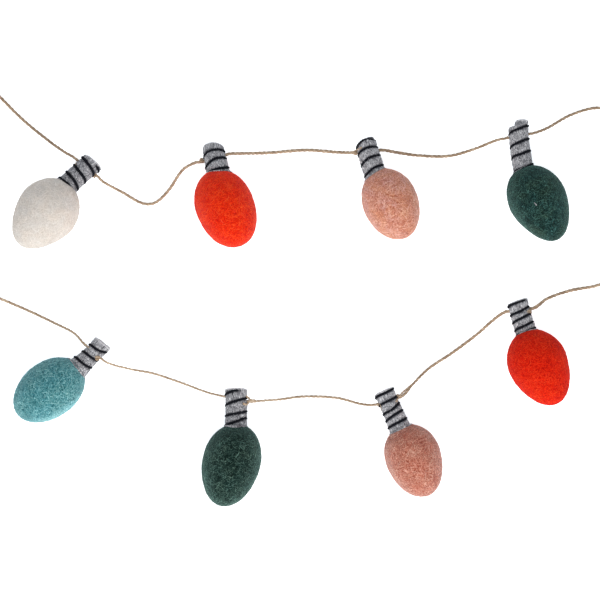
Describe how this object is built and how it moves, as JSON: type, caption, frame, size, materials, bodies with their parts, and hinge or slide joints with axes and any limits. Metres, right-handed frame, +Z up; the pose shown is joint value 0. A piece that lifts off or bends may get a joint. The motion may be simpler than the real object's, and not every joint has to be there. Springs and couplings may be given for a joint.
{
  "type": "felt light bulb garland",
  "caption": "Garland of felted wool light bulbs with grey rolled felt necks wound with black yarn, strung on thin jute twine and lying in two rows.",
  "frame": {"origin": "on the surface the garland lies on, under the middle of the bulbs' bounding box", "axes": "+X runs along the two rows, +Y goes from the second row towards the first, +Z is up from the surface"},
  "size_m": [0.6165, 0.3884, 0.0536],
  "materials": {
    "felt_white": "needle-felted wool, off-white",
    "felt_orange": "needle-felted wool, orange-red",
    "felt_pink": "needle-felted wool, salmon pink",
    "felt_rose": "needle-felted wool, darker rose pink",
    "felt_green": "needle-felted wool, dark green",
    "felt_teal": "needle-felted wool, teal",
    "felt_grey": "marled grey wool felt, rolled",
    "yarn_black": "plied black yarn",
    "jute": "twisted natural jute twine"
  },
  "bodies": {
    "root": {"bulb_1_body": "felt_white", "bulb_1_neck": "felt_grey", "bulb_1_thread": "yarn_black", "bulb_2_body": "felt_orange", "bulb_2_neck": "felt_grey", "bulb_2_thread": "yarn_black", "bulb_3_body": "felt_pink", "bulb_3_neck": "felt_grey", "bulb_3_thread": "yarn_black", "bulb_4_body": "felt_green", "bulb_4_neck": "felt_grey", "bulb_4_thread": "yarn_black", "bulb_5_body": "felt_teal", "bulb_5_neck": "felt_grey", "bulb_5_thread": "yarn_black", "bulb_6_body": "felt_green", "bulb_6_neck": "felt_grey", "bulb_6_thread": "yarn_black", "bulb_7_body": "felt_rose", "bulb_7_neck": "felt_grey", "bulb_7_thread": "yarn_black", "bulb_8_body": "felt_orange", "bulb_8_neck": "felt_grey", "bulb_8_thread": "yarn_black", "twine": "jute"}
  },
  "joints": []
}
